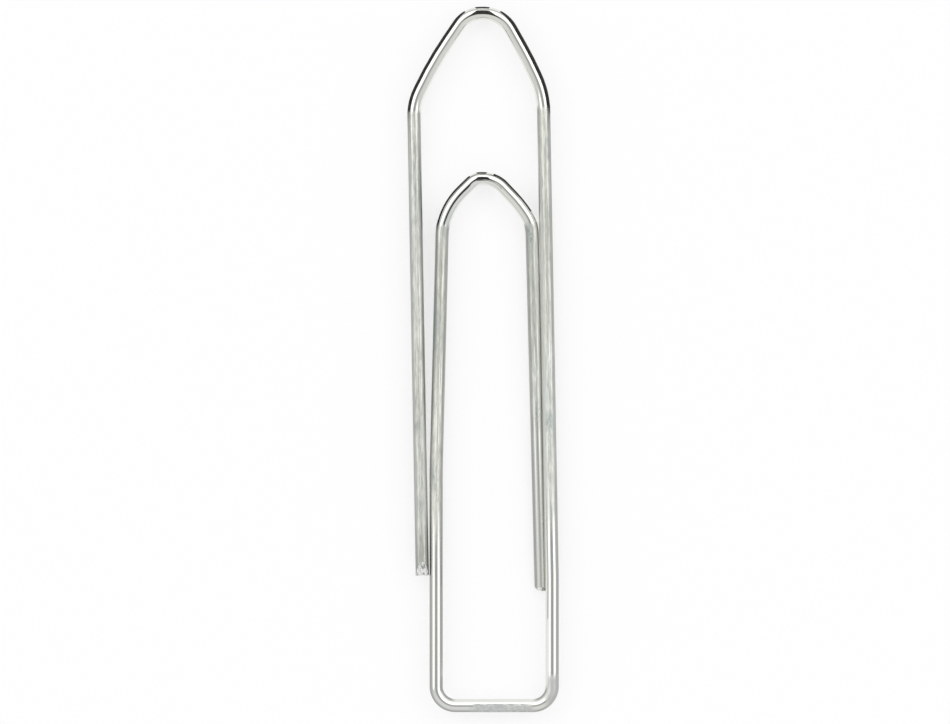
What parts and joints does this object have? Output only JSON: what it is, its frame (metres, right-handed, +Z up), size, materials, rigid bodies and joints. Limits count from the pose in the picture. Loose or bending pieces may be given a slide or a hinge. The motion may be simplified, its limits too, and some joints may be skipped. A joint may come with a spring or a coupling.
{
  "type": "paper clip",
  "caption": "Pointed paper clip of bent round zinc-plated steel wire: square base, long outer loop with a pointed end, and a shorter pointed tongue that springs to grip paper.",
  "frame": {"origin": "under the middle of the clip's box, on the table under the dipped end of the tongue's right leg", "axes": "+X across the clip towards the long leg, +Y from the square base to the pointed end, +Z up from the table, square to the clip's plane"},
  "size_m": [0.0166, 0.077, 0.0027],
  "materials": {
    "zinc_plated_steel": "bright zinc plating on drawn wire, with faint lengthwise drawing marks"
  },
  "bodies": {
    "tongue_free_side": {"tongue_tip_right": "zinc_plated_steel", "tongue_right_slope": "zinc_plated_steel", "tongue_right_shoulder": "zinc_plated_steel", "tongue_free_leg": "zinc_plated_steel"},
    "tongue": {"base_bar_left": "zinc_plated_steel", "base_left_corner": "zinc_plated_steel", "base_left_leg": "zinc_plated_steel", "tongue_long_leg": "zinc_plated_steel", "tongue_left_shoulder": "zinc_plated_steel", "tongue_left_slope": "zinc_plated_steel", "tongue_tip_left": "zinc_plated_steel"},
    "outer_frame": {"outer_tip_right": "zinc_plated_steel", "outer_right_slope": "zinc_plated_steel", "outer_right_shoulder": "zinc_plated_steel", "outer_long_leg": "zinc_plated_steel", "base_right_leg": "zinc_plated_steel", "base_right_corner": "zinc_plated_steel", "base_bar_right": "zinc_plated_steel"},
    "outer_free_side": {"outer_tip_left": "zinc_plated_steel", "outer_left_slope": "zinc_plated_steel", "outer_left_shoulder": "zinc_plated_steel", "outer_free_leg": "zinc_plated_steel"}
  },
  "joints": [
    {"name": "tongue_leg_flex", "type": "hinge", "parent": "tongue_free_side", "child": "tongue", "pos_m": [-0.00009, 0.01972, 0.00197], "axis": [1, 0, 0], "range_deg": [-3.5, 0], "stiffness_Nm_per_rad": 0.9},
    {"name": "clip_open", "type": "hinge", "parent": "tongue", "child": "outer_frame", "pos_m": [0.00121, -0.03778, 0.00197], "axis": [1, 0, 0], "range_deg": [0, 12], "stiffness_Nm_per_rad": 0.7},
    {"name": "free_leg_flex", "type": "hinge", "parent": "outer_frame", "child": "outer_free_side", "pos_m": [-0.00009, 0.03778, 0.00197], "axis": [1, 0, 0], "range_deg": [-5, 1], "stiffness_Nm_per_rad": 0.8}
  ]
}
